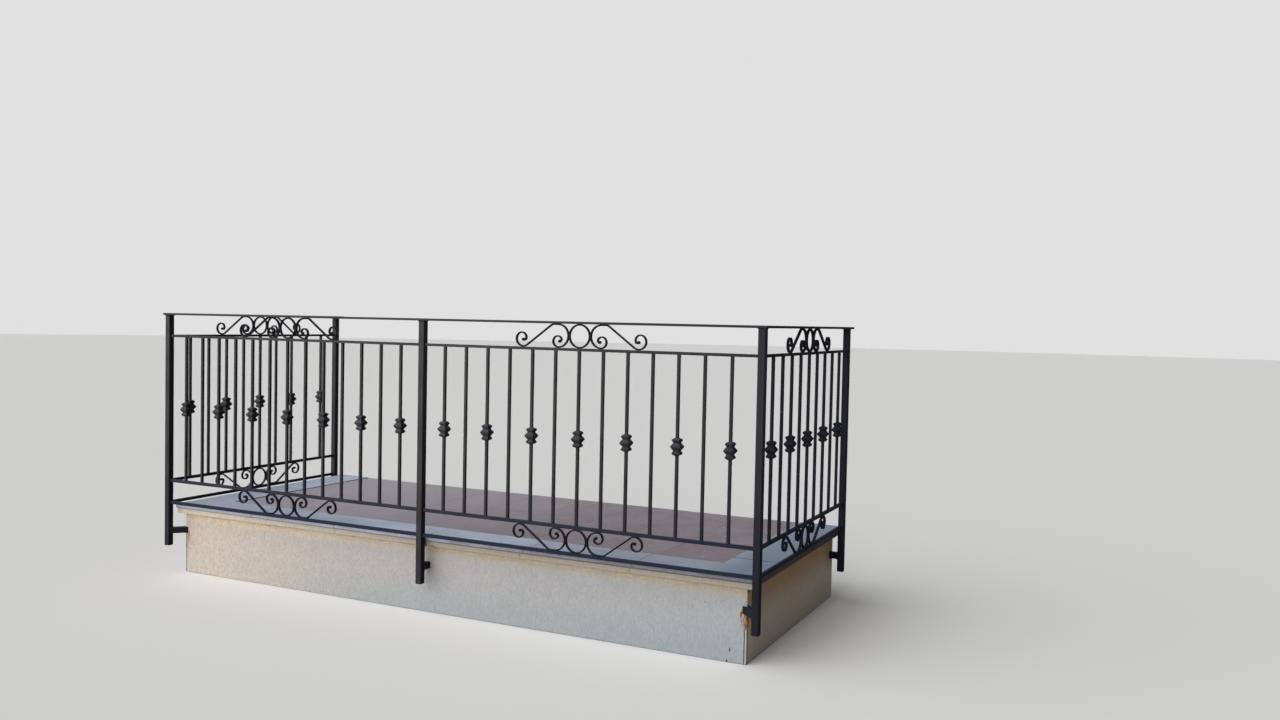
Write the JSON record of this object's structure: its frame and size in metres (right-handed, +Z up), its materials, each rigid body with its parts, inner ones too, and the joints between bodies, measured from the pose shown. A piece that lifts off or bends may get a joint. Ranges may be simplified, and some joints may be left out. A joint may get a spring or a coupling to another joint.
{
  "type": "balcony with wrought-iron railing",
  "caption": "Cantilevered rendered balcony slab with stone border and tiled floor, enclosed on three sides by a black iron railing with scrolls and cast knots.",
  "frame": {"origin": "middle of the slab's rear face, where it meets the wall, half way along and half way up the slab body", "axes": "+Z up, +Y into the wall, +X along the wall to the right as seen from the street"},
  "size_m": [3.217, 1.2905, 1.327],
  "materials": {
    "iron": "weathered satin paint",
    "render": "matte lime render",
    "coping": "honed stone",
    "tiles": "matte unglazed tile"
  },
  "bodies": {
    "root": {"slab": "render", "edge_band": "render", "coping_front": "coping", "coping_left": "coping", "coping_right": "coping", "tile_floor": "tiles", "post_wall_left": "iron", "post_corner_left": "iron", "post_middle": "iron", "post_corner_right": "iron", "post_wall_right": "iron", "bracket_wall_left": "iron", "bracket_corner_left": "iron", "bracket_middle": "iron", "bracket_corner_right": "iron", "bracket_wall_right": "iron", "handrail_front": "iron", "handrail_left": "iron", "handrail_right": "iron", "panel_front_left": "iron", "panel_front_right": "iron", "panel_left": "iron", "panel_right": "iron", "knots_front_left": "iron", "knots_front_right": "iron", "knots_left": "iron", "knots_right": "iron", "scrolls_top_front_left": "iron", "scrolls_top_front_right": "iron", "scrolls_top_left": "iron", "scrolls_top_right": "iron", "scrolls_low_front_left": "iron", "scrolls_low_front_right": "iron", "scrolls_low_left": "iron", "scrolls_low_right": "iron"}
  },
  "joints": []
}
